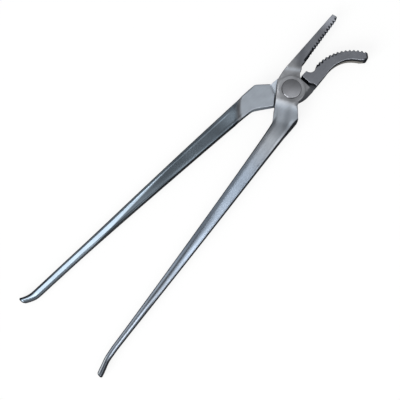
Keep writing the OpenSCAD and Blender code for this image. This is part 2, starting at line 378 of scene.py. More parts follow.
def shifted(points, off):
    """A closed outline moved outward by off, corners mitred."""
    p = np.array(points, float)
    d = np.roll(p, -1, axis=0) - p
    d /= np.linalg.norm(d, axis=1)[:, None]
    n = np.stack([d[:, 1], -d[:, 0]], 1)
    if 0.5 * np.sum(p[:, 0] * np.roll(p[:, 1], -1) - np.roll(p[:, 0], -1) * p[:, 1]) < 0:
        n = -n
    m = n + np.roll(n, 1, axis=0)
    m /= (m * n).sum(1)[:, None]
    return p + m * off


def beside(line):
    """Unit steps to the right of a closed line's way, at each of its points."""
    d = np.roll(line, -1, axis=0) - np.roll(line, 1, axis=0)
    return np.stack([d[:, 1], -d[:, 0]], 1) / np.maximum(np.linalg.norm(d, axis=1), 1e-9)[:, None]


def inside_outline(edge, head_to):
    """Points at a few depths inside the outline of an arm's head."""
    normal = -beside(edge)
    if not within(edge[:5] + normal[:5] * 0.05, edge).all():
        normal = -normal
    head = edge[:, 0] > -head_to
    moved = []
    for gap in EDGE_GAPS:
        points = (edge + normal * gap)[head]
        moved.append(points[edge_distance(points, edge) > 0.93 * gap])
    return moved


def thinned(points, gaps, fixed):
    """The points that keep their own gap from the fixed ones and from those kept before."""
    tree = KDTree(len(fixed))
    for i, p in enumerate(fixed):
        tree.insert((p[0], p[1], 0), i)
    tree.balance()
    cells = {}
    kept = []
    for p, gap in zip(points, gaps):
        cx, cy = int(p[0] // 1), int(p[1] // 1)
        around = [q for i in (-1, 0, 1) for j in (-1, 0, 1) for q in cells.get((cx + i, cy + j), ())]
        close = tree.find((p[0], p[1], 0))[2] < min(gap, 0.3)
        if close or any((q[0] - p[0]) ** 2 + (q[1] - p[1]) ** 2 < gap * gap for q in around):
            continue
        cells.setdefault((cx, cy), []).append(p)
        kept.append(p)
    return np.array(kept)


def inner_points(edge, rows, head_to, steps, bore, fixed):
    """Plan points inside an arm: beside its outline and its steps first, then its rein's
    rows, and a grid over its head."""
    near = inside_outline(edge, head_to)
    for line in steps:
        near += [line + beside(line) * gap for gap in LAP_GAPS]
    rein = np.array([p for row in rows for p in row[1:-1]])
    xs = np.arange(-head_to + 1, GRID_X, GRID)
    ys = np.arange(-GRID_Y, GRID_Y, GRID)
    grid = np.array([[x + (STAGGER if j % 2 else 0), y] for j, y in enumerate(ys) for x in xs])
    free = np.concatenate(near + [rein, grid])
    ok = within(free, edge) & (np.hypot(free[:, 0], free[:, 1]) > bore + 0.2)
    n_near = int(ok[:sum(len(part) for part in near)].sum())
    free = free[ok]
    reach = edge_distance(free, edge)
    gaps = np.where(free[:, 0] < -head_to, 0.05, np.clip(0.35 * reach, 0.08, 0.8))
    gaps[:n_near] = np.minimum(gaps[:n_near], 0.17)
    return thinned(free, gaps, fixed)


def triangulated(points, loops, edge, bore):
    """Plan points and their triangles, inside the outline and outside the bore."""
    edges = []
    start = 0
    for n in loops:
        edges += [(start + i, start + (i + 1) % n) for i in range(n)]
        start += n
    verts, _, faces, _, _, _ = delaunay_2d_cdt([Vector(p) for p in points], edges, [], 0, 1e-4)
    plan = np.array([[v.x, v.y] for v in verts])
    faces = np.array([f for f in faces if len(f) == 3])
    centre = plan[faces].mean(1)
    faces = faces[within(centre, edge) & (np.hypot(centre[:, 0], centre[:, 1]) > bore * 0.999)]
    used = np.unique(faces)
    remap = np.full(len(plan), -1)
    remap[used] = np.arange(len(used))
    plan, faces = plan[used], remap[faces]
    a, b, c = plan[faces[:, 0]], plan[faces[:, 1]], plan[faces[:, 2]]
    area = (b[:, 0] - a[:, 0]) * (c[:, 1] - a[:, 1]) - (b[:, 1] - a[:, 1]) * (c[:, 0] - a[:, 0])
    faces[area < 0] = faces[area < 0][:, ::-1]
    return plan, faces


def open_sides(faces):
    """The triangles' sides that only one triangle has."""
    sides = {(int(f[i]), int(f[(i + 1) % 3])): True for f in faces for i in range(3)}
    return [(p, q) for p, q in sides if (q, p) not in sides]


def inward_from(plan, walls, bore):
    """Unit steps from the outer edge into the arm, and none elsewhere."""
    inward = np.zeros((len(plan), 2))
    for p, q in walls:
        d = plan[q] - plan[p]
        left = np.array([-d[1], d[0]]) / np.linalg.norm(d)
        inward[p] += left
        inward[q] += left
    length = np.linalg.norm(inward, axis=1)
    inward[length > 0] /= length[length > 0][:, None]
    inward[np.hypot(plan[:, 0], plan[:, 1]) < bore + 0.1] = 0
    return inward


def store(mesh, key, values):
    """One mask of the finish or of the painted light and shade, or the place for its grain, on the mesh's
    points.
    """
    kind, part = ("FLOAT", "value") if values.ndim == 1 else ("FLOAT_VECTOR", "vector")
    layer = mesh.attributes.new(key, kind, "POINT")
    layer.data.foreach_set(part, values.astype(np.float32).ravel())


def placed(name, data):
    obj = bpy.data.objects.new(name, data)
    scene.collection.objects.link(obj)
    return obj


def arm_mesh(name, outline, rows, head_to, steps, bore, top, bottom, paint):
    """A closed arm: one plan triangulation, raised to its top and its underside."""
    edge = resample(outline, EDGE_STEP)
    steps = [resample(line, LAP_STEP) for line in steps]
    lines = [edge, np.array(ring(bore, BORE_STEP))] + steps
    fixed = np.concatenate(lines)
    free = inner_points(edge, rows, head_to, steps, bore, fixed)
    plan, faces = triangulated(np.concatenate([fixed, free]), [len(line) for line in lines], edge, bore)
    reach = edge_distance(plan, edge)
    n = len(plan)
    walls = open_sides(faces)
    high = np.column_stack([plan, top(plan, reach)])
    low = np.column_stack([plan, bottom(plan, reach)])
    co = np.concatenate([high, low])
    polys = [tuple(int(v) for v in f) for f in faces]
    polys += [tuple(int(v) + n for v in f[::-1]) for f in faces]
    polys += [(p, p + n, q + n, q) for p, q in walls]
    mesh = bpy.data.meshes.new(name)
    mesh.from_pydata([tuple(v) for v in co / 1000], [], polys)
    sampled = plan + inward_from(plan, walls, bore) * 0.05
    smooth = np.concatenate(face_normals(top, bottom, sampled, edge))
    mesh.normals_split_custom_set(loop_normals(co, polys, smooth))
    masks = paint(co[:, :2], co[:, 2], np.concatenate([reach, reach]))
    for key, values in masks.items():
        store(mesh, key, values)
    return placed(name, mesh)


def face_normals(top, bottom, plan, edge):
    """Normals of both height functions at plan points, from small differences."""
    h = 0.012
    levels = []
    for move in ((h, 0), (-h, 0), (0, h), (0, -h)):
        p = plan + np.array(move)
        reach = edge_distance(p, edge)
        levels.append((top(p, reach), bottom(p, reach)))
    out = []
    for k, sign in ((0, 1), (1, -1)):
        gx = (levels[0][k] - levels[1][k]) / (2 * h)
        gy = (levels[2][k] - levels[3][k]) / (2 * h)
        normal = np.column_stack([-gx, -gy, np.ones(len(plan))]) * sign
        out.append(normal / np.linalg.norm(normal, axis=1)[:, None])
    return out


def loop_normals(co, polys, smooth):
    """Per-corner normals: smooth ones on the faces, and on upright walls the
    mean of the walls that meet there without a corner."""
    steep = {}
    at = {}
    for i, f in enumerate(polys):
        z = co[list(f), 2]
        if len(f) == 3 and z.max() - z.min() < 2.0:
            continue
        a, b, c = co[f[0]], co[f[1]], co[f[2]]
        normal = np.cross(b - a, c - a)
        if np.linalg.norm(normal) < 1e-9:
            normal = np.cross(c - a, co[f[-1]] - a)
        steep[i] = normal / max(np.linalg.norm(normal), 1e-12)
        for v in f:
            at.setdefault(v, []).append(i)
    out = []
    for i, f in enumerate(polys):
        for v in f:
            if i not in steep:
                out.append(tuple(smooth[v]))
                continue
            own = steep[i]
            mean = sum((steep[k] for k in at[v] if steep[k] @ own > 0.8), np.zeros(3))
            out.append(tuple(mean / max(np.linalg.norm(mean), 1e-12)))
    return out


def lap_distance(points, sign):
    """Whether points lie in the lap's cut, and how far from its edges; sign is -1 for the straight arm."""
    p = points * [1, sign]
    return within(p, LAP_ZONE), edge_distance(p, LAP_ZONE)


def behind(p):
    """Distance behind the pivot, held where the reins' formulas begin."""
    return np.maximum(-p[:, 0], REIN_FROM)


def pad_level(points, face, pad, foot_r, round_r):
    """A face with its round pad, rounded at the pad's edge and hollow at its foot."""
    r = np.hypot(points[:, 0], points[:, 1])
    up = np.sign(pad - face)
    edge = fillet(np.clip(PAD_R - r, 0, None), round_r)
    foot = foot_r * (1 - np.clip((r - PAD_R) / foot_r, 0, 1)) ** 2 / 2
    return np.where(r < PAD_R, pad - up * edge, face + up * foot)


# The curved-jawed arm

CURVED_PLUNGE = np.array(bow([-36, float(CURVED.outer(36))], [-50, float(CURVED.inner(50))], 1.17, 6))


def plunge_ahead(p):
    """Distance along X ahead of the line where a rein's face begins."""
    line = CURVED_PLUNGE[np.argsort(CURVED_PLUNGE[:, 1])]
    return p[:, 0] - np.interp(p[:, 1], line[:, 1], line[:, 0])


def curved_place(p):
    """Turn along the curved jaw in degrees, and depth below its crest."""
    x, y = p[:, 0] - CURVE_X, p[:, 1] - CREST_Y + CURVE_R
    return np.degrees(np.arctan2(x, y)), CURVE_R - np.hypot(x, y)


def curved_top(p, reach):
    x = p[:, 0]
    rein_top = CURVED.section(behind(p), p[:, 1])[1]
    in_lap, lap_d = lap_distance(p, 1)
    turn, depth = curved_place(p)
    at_teeth = (turn > -3) & (depth < 3.5) & (x > CURVE_X - 3)
    radius = np.where(at_teeth, 0.2, np.where(x > JAW_SHOULDER, 0.45, 0.8))
    near_notch = ease(CORNER_Y - 6, CORNER_Y + 1, p[:, 1]) * (x < 0)
    plate = FACE_HIGH - fillet(reach, radius) - fillet(lap_d, 0.35 + 0.75 * near_notch)
    body = rein_top + (plate - rein_top) * ease(-0.5, 5.5, plunge_ahead(p))
    lap = LAP_LOW - fillet(reach, 0.3)
    return np.where(in_lap, lap, np.where(x > 0, plate, body))


def curved_bottom(p, reach):
    x = p[:, 0]
    back = behind(p)
    rein_low = CURVED.section(back, p[:, 1])[0]
    crotch = ease(-3, -9, x) * ease(24, 17, p[:, 1] - 0.2 * back)
    radius = np.where(np.hypot(x, p[:, 1]) < PAD_R + 0.5, 0.3, 0.7 + 3.0 * crotch)
    plate = pad_level(p, FACE_LOW, 0.0, 0.3, 0.5) + fillet(reach, radius)
    body = rein_low + (plate - rein_low) * ease(-4.5, 1.2, plunge_ahead(p))
    return np.where(x > -12, plate, body)


def curved_lap_marks(p, z):
    """Marks of the curved arm's lap: painted shade on its floor in the slot by the jaw, a painted highlight
    on its notch by the shoulder.
    """
    x, y = p[:, 0], p[:, 1]
    in_lap, lap_d = lap_distance(p, 1)
    floor_part = in_lap & (z < TOP_FROM)
    notch = ease(3, 8, y) * (x < 0)
    slot_end = ease(-7, -9.5, y) * (x > 8) * (x < 19)
    dark = np.where(floor_part, (1 - notch) * (1 - 0.4 * slot_end), 0.0)
    dark = np.where(floor_part & (x < 0) & (lap_d < 2), np.minimum(dark, 0.5), dark)
    glow = 0.9 * notch * floor_part + 1.4 * notch * (~in_lap) * (lap_d < 0.9)
    wall = (1 - 0.5 * slot_end * (x < 17.5)) * np.where(lap_d < 0.9, 1 - notch, 1.0)
    cap = np.where((lap_d < 0.5) & (x < 0), 0.45, 1.0)
    return dark, glow, wall, cap


def curved_rein_marks(p, reach, back, ahead, side):
    """Marks of the curved arm's rein: painted shade on the ramp below its shoulder and at its end, a painted
    highlight at the round end of its face, a stretch of painted shade, and less painted wall shade at the
    crotch and the bend."""
    x = p[:, 0]
    round_end = ahead + 6 * (side - 0.05) ** 2
    ramp = ease(-3.2, -0.8, round_end) * (1 - ease(2, 6.5, ahead)) * (x < -28)
    ramp = ramp * (1 - 0.7 * ease(0.3, 0.85, side))
    dark = np.maximum(0.66 * ramp, 0.7 * ease(276.6, 277.4, back))
    lobe = np.exp(-(side / 0.6) ** 4) * ease(-1.5, -3.5, round_end)
    glow = 0.55 * lobe * (1 - ease(50, 62, back)) * (back > 30)
    painted_dim = 1 - 0.27 * ease(56, 70, back) * (1 - ease(105, 130, back))
    crotch = ease(-12, -16, x) * ease(-41, -33, x) * (reach < 1.0)
    bend = ease(-26, -30, x) * ease(-44, -38, x) * (side > 0.7)
    return dark, glow, painted_dim, np.minimum(1 - 0.85 * crotch, 1 - 0.6 * bend)


def curved_jaw_marks(p, reach):
    """Marks of the curved jaw: painted shade in its tooth gaps and at its tip, a painted highlight along the
    rim over its inner wall.
    """
    turn, depth = curved_place(p)
    rim = 0.5 + 0.7 * (turn < 31)
    gap = tooth_gap(turn / CURVED_PITCH, depth, rim, 0.95) * (turn > 0) * (turn < CURVE_SWEEP)
    gap = gap * (1 - 0.5 * ease(24, 44, turn))
    plain = (turn > -2.6) * (turn <= 1.4) * (depth < 1.8) * (depth > -0.5)
    end = ease(CURVE_SWEEP - 2.5, CURVE_SWEEP - 0.5, turn) * (1 - ease(0.9, 1.6, reach))
    under = ease(22, 28, p[:, 0]) * (depth > 5)
    glint = 1 + 0.9 * under * (reach > 0.05) * (reach < 0.5)
    crest = (np.abs(depth) < 0.12) * (turn > 0) * (p[:, 0] > 30)
    dark = np.maximum.reduce([gap, 0.98 * plain, 0.97 * end])
    return dark, glint, 1 - 0.9 * crest, under * (1 - crest) * (reach < 0.05)


def curved_paint(p, z, reach):
    """All marks of the curved arm, with its painted light and shade."""
    back = behind(p)
    ahead = plunge_ahead(p)
    side = rein_side(CURVED, back, p[:, 1])
    jaw = ease(13.5, 14.5, p[:, 0])
    satin = ease(1.5, 6.5, ahead) * (1 - jaw)
    slate = 1 - ease(-2, 3, ahead)
    lap_dark, lap_glow, lap_wall, lap_cap = curved_lap_marks(p, z)
    rein_dark, rein_glow, painted_dim, rein_cap = curved_rein_marks(p, reach, back, ahead, side)
    jaw_dark, glint, jaw_wall, under = curved_jaw_marks(p, reach)
    # Painted shade, painted light and shade, and painted wall shade, gathered from all the marks
    dark = np.maximum.reduce([lap_dark, rein_dark, jaw_dark])
    painted_tone = (1 + lap_glow + rein_glow) * painted_dim * glint
    wall = np.minimum.reduce([jaw_wall * lap_wall, lap_cap, rein_cap])
    masks = finish_and_painted_light(CURVED, p, p[:, 1], z, jaw, satin, slate, dark, wall, painted_tone)
    masks["under"] = under
    return masks


def rein_side(rein, back, y):
    """Place across a rein, from minus one at its inner edge to one at its outer edge."""
    y0, y1 = rein.inner(back), rein.outer(back)
    return (y - (y0 + y1) / 2) / ((y1 - y0) / 2)


def tooth_gap(phase, depth, rim, share):
    """One in a tooth gap and on the rim around it, from the place along the row in teeth."""
    k = (phase - np.floor(phase) - 0.5) * 2 / GROOVE_SHARE
    floor_at = TOOTH_DEPTH * np.cos(np.clip(k, -1, 1) * math.pi / 2) ** GROOVE_POWER
    return (np.abs(k) < share) * (depth < floor_at + rim) * (depth > 0.1) * 1.0


def finish_and_painted_light(rein, p, y, z, jaw, satin, slate, dark, wall, painted_tone):
    """All masks for each point of an arm, of its finish and of its painted light and shade; y is on the side
    where the rein's formulas hold.
    """
    back = behind(p)
    middle = rein.middle(back) - rein.middle(np.array(REIN_FROM))
    masks = {"jaw": jaw, "satin": satin, "slate": slate, "dark": dark, "wall": wall, "painted_tone": painted_tone}
    masks["side"] = rein_side(rein, back, y)
    masks["flow"] = np.column_stack([p[:, 0], y - middle, z])
    return masks


# The straight-jawed arm, whose rein and lap lie on the negative side

def astern_of(p):
    """Distance from the pivot towards the straight arm's neck."""
    return -0.88 * p[:, 0] - 0.47 * p[:, 1]


def straight_top(p, reach):
    x, aside = p[:, 0], -p[:, 1]
    r = np.hypot(x, aside)
    rein_top = STRAIGHT.section(behind(p), aside)[1]
    astern = astern_of(p)
    fore = 1 - ease(-3, 3, x)
    pad = 1 - 0.3 * ease(PAD_R - 0.5 - fore, PAD_R + 1.2 + 2.5 * fore, r)
    pad = pad - 0.7 * ease(PAD_R + 0.5, 25, r)
    pad = pad + (1 - pad) * ease(0.4, 0.95, astern / np.maximum(r, 1)) * (r > 4)
    base = FACE_HIGH + (JOINT_T - FACE_HIGH) * pad
    slope = (aside - (LAP_SIDE - SLOPE_W)) * math.tan(math.radians(SLOPE_ANGLE))
    slope = (slope + np.sqrt(slope ** 2 + 0.1)) / 2
    share = ease(-9, -1, x) * (1 - ease(LAP_FRONT - 0.5, LAP_FRONT + 2.5, x))
    share = share * ease(PAD_R - 0.8, PAD_R + 3.4, r)
    plate = base - slope * share - fillet(reach, np.where(x > LAP_FRONT, 0.45, 0.7))
    w = 1 - ease(9.5, 30, astern)
    return rein_top + (plate - rein_top) * np.where(x > 0, 1, w)


def straight_bottom(p, reach):
    x, aside = p[:, 0], -p[:, 1]
    rein_low = STRAIGHT.section(behind(p), aside)[0]
    in_lap, lap_d = lap_distance(p, -1)
    plate = FACE_LOW + fillet(reach, 0.8) + fillet(lap_d, 0.3)
    body = rein_low + (plate - rein_low) * ease(-24, -16, x)
    return np.where(in_lap, LAP_HIGH, np.where(x > 0, plate, body))


def straight_jaw_marks(p):
    """Marks of the straight jaw: painted shade in its tooth gaps and at its tip, and less painted wall shade
    between the gaps.
    """
    x = p[:, 0]
    into = p[:, 1] - straight_crest_y(x)
    phase = (x - TOOTH_X) / STRAIGHT_PITCH
    row = (x > TOOTH_X) * (x < STRAIGHT_L - 0.5)
    gap = tooth_gap(phase, into, 0.8, 0.78) * row
    deep = np.where(x < TOOTH_X - 3.5, 1.8, 1.3)
    plain = (x > TOOTH_X - 8.4) * (x <= TOOTH_X + 5) * (into < deep)
    tip = (x > STRAIGHT_L - 0.9) * (into < 1.8)
    between = np.abs(phase % 1 - 0.5) * 2 / GROOVE_SHARE > 0.7
    return np.maximum.reduce([gap, 0.95 * plain, 0.8 * tip]), 1 - 0.9 * (into < 0.7) * between * row


def straight_painted_tone(p, back, jaw, root):
    """Tone of the straight arm: lighter at its jaw's tip, a painted highlight at its jaw's root,
    painted shade in its neck, and painted light over its boss towards the jaws."""
    x, y = p[:, 0], p[:, 1]
    astern = astern_of(p)
    tip = 1.25 * np.exp(-((x - 68) / 8) ** 2) * (x > 30)
    hollow = np.exp(-((0.5 * (x + 19) - 0.87 * (y + 13)) / 3.0) ** 2)
    hollow = hollow * ease(12, 17, back) * (1 - ease(26, 34, back))
    neck = ease(13, 20, astern) * (1 - ease(28, 44, back))
    lean = np.clip((0.68 * x + 0.73 * y) / PAD_R, -1, 1) * (1 - ease(9, 13, astern)) * (1 - jaw)
    return (1 + tip + 0.55 * root - 0.25 * hollow) * (1 - 0.42 * neck) * (1 + 0.25 * lean)


def straight_paint(p, z, reach):
    """All marks of the straight arm, with its painted light and shade."""
    x, aside = p[:, 0], -p[:, 1]
    in_lap, lap_d = lap_distance(p, -1)
    back = behind(p)
    jaw = ease(15, 24, x)
    # A painted highlight at the jaw's root, which also makes the satin paler there
    root = np.exp(-((0.82 * (x - 13.5) + 0.58 * (p[:, 1] - 10.3)) / 2.0) ** 2) * (x > 5)
    satin = ease(9, 17, astern_of(p)) * (1 - 0.4 * ease(22, 40, back))
    satin = np.maximum(satin * (1 - ease(90, 150, back)), 0.5 * root)
    slate = ease(42, 84, back) * (1 - 0.25 * ease(150, 200, back))
    # Painted shade on the slope beside the lap
    slope = ease(9.2, 10.6, aside) * ease(-6, -3, x) * (1 - ease(12, 14, x)) * (z > TOP_FROM)
    slope = slope * ease(PAD_R, PAD_R + 1, np.hypot(x, aside))
    jaw_dark, jaw_wall = straight_jaw_marks(p)
    # Painted shade on the lap's floor, on the slope and on the jaw
    dark = np.maximum.reduce([np.where(in_lap & (z < TOP_FROM), 1.0, 0.0), 0.66 * slope, jaw_dark])
    # Painted wall shade, held lower at some edges and on the flank
    cap = np.where((reach < 0.9) & (aside < 0) & (x < 0), 0.45, 1.0)
    flank = ease(8.5, 9.5, aside) * (x > -8) * (x < LAP_FRONT + 1) * (z > TOP_FROM)
    wall = np.minimum(jaw_wall, cap) * (1 - 0.8 * flank)
    painted_tone = straight_painted_tone(p, back, jaw, root)
    return finish_and_painted_light(STRAIGHT, p, aside, z, jaw, satin, slate, dark, wall, painted_tone)


def step_pair(points, gap=0.03):
    """Lines just outside and inside a step, which keep it upright."""
    return [shifted(points, gap), shifted(points, -gap)]


def build_curved_arm():
    rows, side = side_outline(CURVED, CURVED_WING, CURVED_ROWS)
    steps = step_pair(LAP_ZONE) + step_pair(ring(PAD_R))
    return arm_mesh("curved_arm_forging", curved_jaw_outline() + side, rows, CURVED_ROWS, steps, RIVET_R,
        curved_top, curved_bottom, curved_paint)


def build_straight_arm():
    rows, side = side_outline(STRAIGHT, STRAIGHT_WING, STRAIGHT_ROWS)
    rows = [[[p[0], -p[1]] for p in row] for row in rows]
    steps = step_pair(LAP_ZONE * [1, -1]) + step_pair(ring(PAD_R))
    return arm_mesh("straight_arm_forging", straight_jaw_outline() + flip(side), rows, STRAIGHT_ROWS,
        steps, RIVET_R + BORE_FIT, straight_top, straight_bottom, straight_paint)


curved_arm = build_curved_arm()
straight_arm = build_straight_arm()


def lathe(name, profile, segments=128):
    """A closed solid turned round Z from (radius, height) pairs in order upward."""
    verts, faces, rings = [], [], []
    for r, z in profile:
        n = segments if r > 0 else 1
        rings.append([len(verts) + i % n for i in range(segments)])
        turns = [2 * math.pi * i / segments for i in range(n)]
        verts += [(r * math.cos(a) / 1000, r * math.sin(a) / 1000, z / 1000) for a in turns]
    for low, high in zip(rings, rings[1:]):
        for i in range(segments):
            j = (i + 1) % segments
            face = (low[i], low[j], high[j], high[i])
            faces.append(tuple(dict.fromkeys(face)))
    mesh = bpy.data.meshes.new(name)
    mesh.from_pydata(verts, [], faces)
    mesh.shade_smooth()
    mesh.set_sharp_from_angle(angle=math.radians(40))
    return placed(name, mesh)


def rivet_profile():
    dome_r, dome_edge, round_r = 19.0, 7.6, 1.1
    lean = math.asin(dome_edge / dome_r)
    top = HEAD_Z + HEAD_H
    low = [(0, 0), (2, 0), (4, 0), (5.6, 0.02), (6.1, 0.06), (PEEN_R - 0.02, 0.16), (RIVET_R, PEEN_H)]
    shank = [(RIVET_R, 6), (RIVET_R, 10), (RIVET_R, HEAD_Z)]
    edge_z = top - dome_r * (1 - math.cos(lean))
    centre = (dome_edge - round_r * math.sin(lean), edge_z - round_r * math.cos(lean))
    rim = [(6.5, HEAD_Z)]
    for k in range(8):
        a = math.pi / 2 - (math.pi / 2 - lean) * k / 8
        height = max(HEAD_Z + 0.001 * k, centre[1] + round_r * math.cos(a))
        rim.append((centre[0] + round_r * math.sin(a), height))
    dome = []
    for k in range(25):
        r = dome_edge * math.cos(k / 24 * math.pi / 2)
        dome.append((r if k < 24 else 0, top - dome_r + math.sqrt(dome_r ** 2 - r * r)))
    return low + shank + rim + dome


rivet = lathe("domed_rivet", rivet_profile())


# Materials

def nodes_of(name):
    material = bpy.data.materials.new(name)
    material.use_nodes = True
    tree = material.node_tree
    tree.nodes.clear()
    return material, tree


def add(tree, kind, inputs=None, **settings):
    """A node whose inputs are joined to sockets or set to plain values."""
    node = tree.nodes.new(kind)
    for key, value in settings.items():
        setattr(node, key, value)
    for key, value in (inputs or {}).items():
        if isinstance(value, bpy.types.NodeSocket):
            tree.links.new(value, node.inputs[key])
        else:
            node.inputs[key].default_value = value
    return node


def attribute(tree, name, output="Fac"):
    return add(tree, "ShaderNodeAttribute", attribute_name=name).outputs[output]


def mixed(tree, factor, a, b):
    """A mix of two colours, which are sockets or plain values."""
    a, b = [(*colour, 1) if isinstance(colour, tuple) else colour for colour in (a, b)]
    return add(tree, "ShaderNodeMix", {0: factor, 6: a, 7: b}, data_type="RGBA").outputs[2]


def maths(tree, operation, *values):
    """The result of a Math node for sockets or plain numbers."""
    return add(tree, "ShaderNodeMath", dict(enumerate(values)), operation=operation).outputs[0]


def total(tree, *parts):
    """The sum of sockets and plain numbers."""
    result = parts[0]
    for part in parts[1:]:
        result = maths(tree, "ADD", result, part)
    return result


def times(tree, a, b):
    return maths(tree, "MULTIPLY", a, b)


def scaled(tree, vector, factor):
    return add(tree, "ShaderNodeVectorMath", {0: vector, "Scale": factor}, operation="SCALE").outputs[0]


def split(tree, vector):
    """The x, y and z sockets of a vector."""
    return add(tree, "ShaderNodeSeparateXYZ", {0: vector}).outputs


def ranged(tree, value, a, b, c=0.0, d=1.0, smooth=False):
    """A value brought from the range a to b into the range c to d."""
    inputs = {"Value": value, "From Min": a, "From Max": b, "To Min": c, "To Max": d}
    kind = "SMOOTHSTEP" if smooth else "LINEAR"
    return add(tree, "ShaderNodeMapRange", inputs, interpolation_type=kind).outputs["Result"]


def noise(tree, vector, scale, along, detail, roughness):
    """Noise over a vector, which along scales first."""
    mapping = add(tree, "ShaderNodeMapping", {"Vector": vector, "Scale": along})
    inputs = {"Vector": mapping.outputs[0], "Scale": scale, "Detail": detail, "Roughness": roughness}
    return add(tree, "ShaderNodeTexNoise", inputs).outputs["Fac"]


# Steel colours: shoulder, boss, the two reins, jaws; painted shade in dark gaps and on walls, a warm
# grey on the curved jaw's lower wall that stands in for its reflection, dome, and painted shade round the
# dome's rim
PALE = (0.33, 0.365, 0.41)
MID = (0.33, 0.34, 0.36)
SLATE = (0.195, 0.24, 0.285)
BLUED = (0.285, 0.34, 0.415)
JAW = (0.195, 0.205, 0.23)
PAINTED_SHADE = (0.014, 0.016, 0.020)
WALL = (0.055, 0.058, 0.064)
WARM = (0.16, 0.153, 0.142)
DOME = (0.205, 0.21, 0.225)
DOME_RIM = (0.05, 0.05, 0.055)
# The tint of grazing reflections, and the grain's depth in metres
GRAZING = (0.12, 0.12, 0.13, 1)
BUMP_DEPTH = 0.00004
# A slanted border's place is measured from SLANT_FROM behind the pivot, and bends by SLANT_BEND
SLANT_FROM, SLANT_BEND = 160.0, 0.00006


def swing(tree, value, spread, level=0.0):
    """A noise as a swing by a spread to either side of a level."""
    return ranged(tree, value, 0.3, 0.7, level - spread, level + spread)


def band(tree, side, centre, half):
    """One on a line along the rein at a share of its width, nothing beside it."""
    off = maths(tree, "ABSOLUTE", maths(tree, "SUBTRACT", side, centre))
    return ranged(tree, off, 0, half, 1, 0, smooth=True)


def stretch(tree, x, rise, fall):
    """One between two places along the rein, with a soft start and a soft end."""
    return times(tree, ranged(tree, x, -rise[0], -rise[1], smooth=True),
        ranged(tree, x, -fall[0], -fall[1], 1, 0, smooth=True))


def rein_shade(tree, shade, side, x, lines, borders):
    """The shade with a rein's lines and borders of painted highlight and painted shade worked in."""
    parts = [(band(tree, side, centre, half), rise, fall, gain) for centre, half, rise, fall, gain in lines]
    beyond = total(tree, x, SLANT_FROM)
    for start, full, slant, rise, fall, gain in borders:
        place = maths(tree, "MULTIPLY_ADD", beyond, -slant, side)
        if slant:
            place = maths(tree, "MULTIPLY_ADD", times(tree, beyond, beyond), SLANT_BEND, place)
        parts.append((ranged(tree, place, start, full, smooth=True), rise, fall, gain))
    for part, rise, fall, gain in parts:
        part = times(tree, part, stretch(tree, x, rise, fall))
        shade = times(tree, shade, maths(tree, "MULTIPLY_ADD", part, gain, 1.0))
    return shade


def steel(tree, colour, rough, height, strength, metal=1.0, specular=0.5):
    """Bare steel with a dark grazing reflection, joined to the material's output."""
    bump = add(tree, "ShaderNodeBump", {"Height": height, "Strength": strength, "Distance": BUMP_DEPTH})
    shader = add(tree, "ShaderNodeBsdfPrincipled", {
        "Base Color": colour,
        "Roughness": rough,
        "Metallic": metal,
        "Specular IOR Level": specular,
        "Specular Tint": GRAZING,
        "Normal": bump.outputs[0],
    })
    add(tree, "ShaderNodeOutputMaterial", {"Surface": shader.outputs[0]})


def arm_material(name, lines, borders, far, polish):
    """Forged and linished steel, with painted light and shade worked into its colour; far is the rein's
    colour and polish how much smoother it is.
    """
    material, tree = nodes_of(name)
    flow = attribute(tree, "flow", "Vector")
    x, _, z = split(tree, flow)
    masks = ("jaw", "satin", "slate", "dark", "painted_tone", "side", "under", "wall")
    jaw, satin, slate, dark, painted_tone, side, under, wall = [attribute(tree, key) for key in masks]
    grain = noise(tree, flow, 1.0, (0.05, 1.5, 1.5), 3.0, 0.6)
    cloud = noise(tree, flow, 0.11, (1, 1, 1), 3.0, 0.5)
    mottle = noise(tree, flow, 1.4, (1, 1, 1), 4.0, 0.6)

    # The plain steel of each part, times its shade: random grain and mottle, with painted light and shade
    # from the tone mask and from the rein's lines and borders
    colour = mixed(tree, satin, MID, PALE)
    colour = mixed(tree, slate, colour, far)
    colour = mixed(tree, jaw, colour, JAW)
    shade = total(tree, swing(tree, grain, 0.045), swing(tree, cloud, 0.08), swing(tree, mottle, 0.025), 1.0)
    shade = rein_shade(tree, times(tree, shade, painted_tone), side, x, lines, borders)

    # Painted shade on upright walls, a warm grey on the matt lower wall of the curved jaw that stands in for
    # its reflection, and painted shade in dark gaps over both
    normal = add(tree, "ShaderNodeTexCoord").outputs["Normal"]
    upright = maths(tree, "ABSOLUTE", split(tree, normal)["Z"])
    wall = times(tree, ranged(tree, upright, 0.86, 0.55, smooth=True), wall)
    low = times(tree, under, ranged(tree, z, 9.8, 6.2, smooth=True))
    matt = times(tree, low, ranged(tree, x, 30, 52, 0.65, 1))
    # A line of painted shade along the top of the curved jaw's lower wall
    dark = maths(tree, "MAXIMUM", dark, times(tree, maths(tree, "SUBTRACT", under, low), 0.85))
    colour = mixed(tree, wall, scaled(tree, colour, shade), WALL)
    colour = mixed(tree, matt, colour, WARM)
    colour = mixed(tree, dark, colour, PAINTED_SHADE)

    rough = total(tree, swing(tree, mottle, 0.004, 0.3), times(tree, satin, 0.16),
        times(tree, slate, -polish), times(tree, jaw, 0.08), times(tree, wall, 0.15), times(tree, dark, 0.35))
    height = maths(tree, "MULTIPLY_ADD", mottle, 0.5, grain)
    steel(tree, colour, rough, height, 0.004, maths(tree, "SUBTRACT", 1.0, matt), 0.0)
    return material


